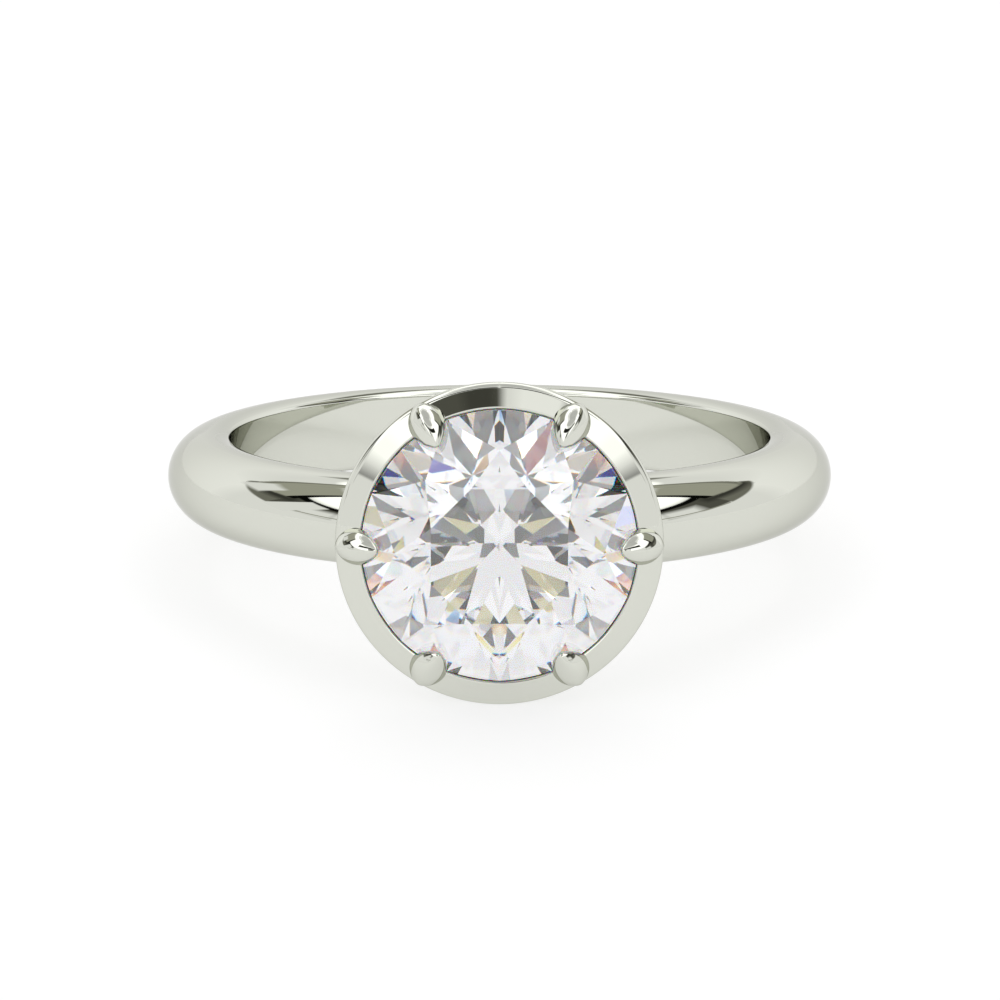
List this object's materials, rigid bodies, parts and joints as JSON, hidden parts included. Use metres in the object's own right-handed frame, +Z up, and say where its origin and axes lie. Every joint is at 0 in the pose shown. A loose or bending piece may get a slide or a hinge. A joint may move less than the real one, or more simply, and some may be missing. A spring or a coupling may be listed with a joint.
{
  "type": "bezel solitaire ring",
  "caption": "Polished domed finger ring with a round brilliant under drop-shaped claws in a bevelled collar on a tapered cup, lying on its side as it rests.",
  "frame": {"origin": "centre of the bounding box's footprint, on the surface that the ring rests on", "axes": "+Z up from that surface, -Y the stone's side, +Y the back of the band, +X right when the stone faces the viewer; the finger axis leans 8.8 degrees from +Z towards +Y"},
  "size_m": [0.0202, 0.0234, 0.0089],
  "materials": {
    "polished_white_gold": "mirror-polished white gold, slightly warm",
    "brilliant": "clear, colourless, polished facets"
  },
  "bodies": {
    "root": {"ring_mount": "polished_white_gold", "stone": "brilliant"}
  },
  "joints": []
}
